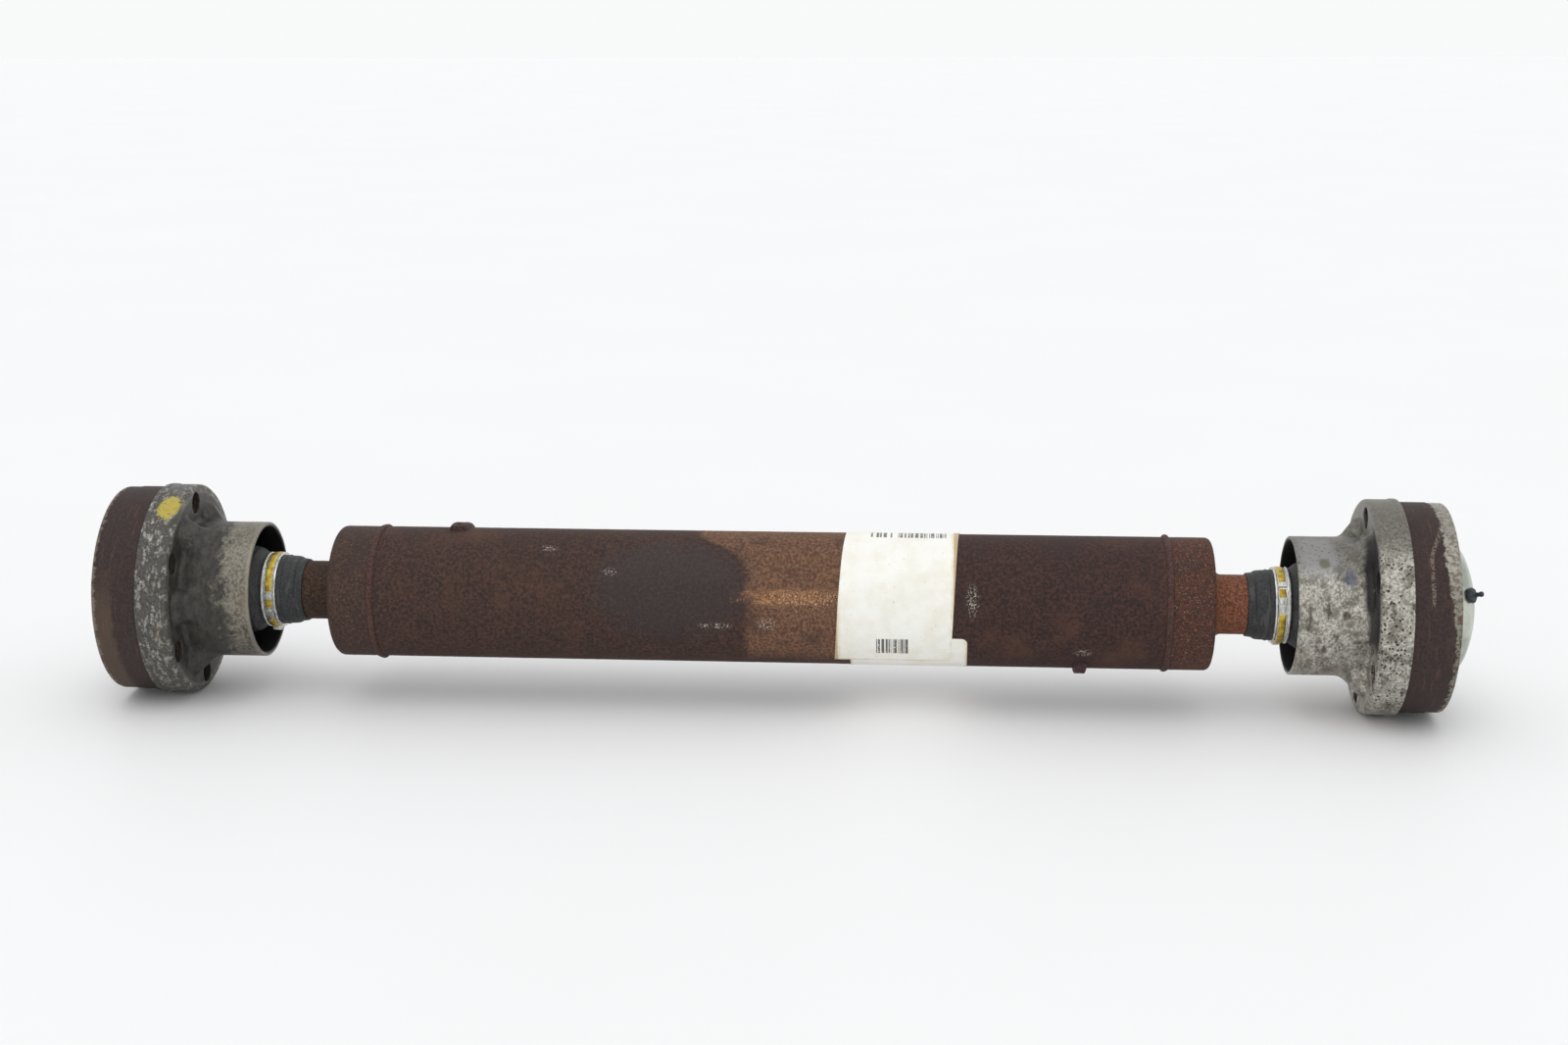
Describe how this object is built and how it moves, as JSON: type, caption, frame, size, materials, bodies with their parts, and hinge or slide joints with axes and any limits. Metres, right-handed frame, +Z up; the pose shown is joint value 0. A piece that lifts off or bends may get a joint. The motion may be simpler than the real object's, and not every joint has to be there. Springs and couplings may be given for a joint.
{
  "type": "universal joint shaft",
  "caption": "Short propeller shaft: a steel tube with a plunging ball joint, rubber boot and round bolt flange at each end.",
  "frame": {"origin": "on the shaft's axis, half-way between the two flanges", "axes": "+X along the shaft towards the right flange, +Z up"},
  "size_m": [0.6674, 0.1032, 0.1032],
  "materials": {
    "shaft_tube": "worn dark brown paint over rust",
    "stub_forging": "rusty dark brown forging",
    "weld": "painted over, rough",
    "weight": "spot welded, painted over",
    "label_paper": "stained matt paper",
    "race_forging": "greasy maroon-brown with bare machined rim",
    "bearing_steel": "ground and polished",
    "cage_steel": "phosphated",
    "zinc_steel": "dull zinc plate with dark pits",
    "cap_zinc": "dull greenish zinc plate",
    "gasket_fibre": "fibre gasket",
    "boot_rubber": "satin black rubber",
    "clamp_steel": "yellow passivated zinc, worn",
    "spring_steel": "oiled"
  },
  "bodies": {
    "shaft": {"tube": "shaft_tube", "left_weld_bead": "weld", "right_weld_bead": "weld", "left_balance_weight": "weight", "right_balance_weight": "weight", "lower_label": "label_paper", "upper_label": "label_paper", "left_stub_shaft": "stub_forging", "left_inner_race": "bearing_steel", "left_circlip": "spring_steel", "left_boot_sleeve": "boot_rubber", "left_boot_clamp": "clamp_steel", "right_stub_shaft": "stub_forging", "right_inner_race": "bearing_steel", "right_circlip": "spring_steel", "right_boot_sleeve": "boot_rubber", "right_boot_clamp": "clamp_steel"},
    "left_boot_inner": {"left_boot_inner_fold": "boot_rubber"},
    "left_boot_outer": {"left_boot_outer_fold": "boot_rubber"},
    "left_flange": {"left_outer_race": "race_forging", "left_boot_can": "zinc_steel", "left_gasket": "gasket_fibre", "left_end_cap": "cap_zinc", "left_vent_plug": "boot_rubber", "left_boot_bead": "boot_rubber"},
    "left_side_ball_pair": {"left_side_balls": "bearing_steel"},
    "left_cage_set": {"left_cage": "cage_steel", "left_cage_balls": "bearing_steel"},
    "right_boot_inner": {"right_boot_inner_fold": "boot_rubber"},
    "right_boot_outer": {"right_boot_outer_fold": "boot_rubber"},
    "right_flange": {"right_outer_race": "race_forging", "right_boot_can": "zinc_steel", "right_gasket": "gasket_fibre", "right_end_cap": "cap_zinc", "right_vent_plug": "boot_rubber", "right_boot_bead": "boot_rubber"},
    "right_side_ball_pair": {"right_side_balls": "bearing_steel"},
    "right_cage_set": {"right_cage": "cage_steel", "right_cage_balls": "bearing_steel"}
  },
  "joints": [
    {"name": "left_swing", "type": "hinge", "parent": "shaft", "child": "left_boot_inner", "pos_m": [-0.3005, 0, 0], "axis": [0, 0, 1], "range_deg": [-7, 7]},
    {"name": "left_tilt", "type": "hinge", "parent": "left_boot_inner", "child": "left_boot_outer", "pos_m": [-0.3005, 0, 0], "axis": [0, 1, 0], "range_deg": [-7, 7]},
    {"name": "left_plunge", "type": "slide", "parent": "left_boot_outer", "child": "left_flange", "axis": [-1, 0, 0], "range_m": [-0.005, 0.005]},
    {"name": "left_ball_swing", "type": "hinge", "parent": "shaft", "child": "left_side_ball_pair", "pos_m": [-0.3005, 0, 0], "axis": [0, 0, 1], "range_deg": [-3.5, 3.5]},
    {"name": "left_cage_tilt", "type": "hinge", "parent": "left_side_ball_pair", "child": "left_cage_set", "pos_m": [-0.3005, 0, 0], "axis": [0, 1, 0], "range_deg": [-3.5, 3.5]},
    {"name": "right_swing", "type": "hinge", "parent": "shaft", "child": "right_boot_inner", "pos_m": [0.3005, 0, 0], "axis": [0, 0, 1], "range_deg": [-7, 7]},
    {"name": "right_tilt", "type": "hinge", "parent": "right_boot_inner", "child": "right_boot_outer", "pos_m": [0.3005, 0, 0], "axis": [0, 1, 0], "range_deg": [-7, 7]},
    {"name": "right_plunge", "type": "slide", "parent": "right_boot_outer", "child": "right_flange", "axis": [1, 0, 0], "range_m": [-0.005, 0.005]},
    {"name": "right_ball_swing", "type": "hinge", "parent": "shaft", "child": "right_side_ball_pair", "pos_m": [0.3005, 0, 0], "axis": [0, 0, 1], "range_deg": [-3.5, 3.5]},
    {"name": "right_cage_tilt", "type": "hinge", "parent": "right_side_ball_pair", "child": "right_cage_set", "pos_m": [0.3005, 0, 0], "axis": [0, 1, 0], "range_deg": [-3.5, 3.5]}
  ],
  "couplings": [
    {"joint": "left_ball_swing", "follows": "left_swing", "ratio": 0.5},
    {"joint": "left_cage_tilt", "follows": "left_tilt", "ratio": 0.5},
    {"joint": "right_ball_swing", "follows": "right_swing", "ratio": 0.5},
    {"joint": "right_cage_tilt", "follows": "right_tilt", "ratio": 0.5}
  ]
}
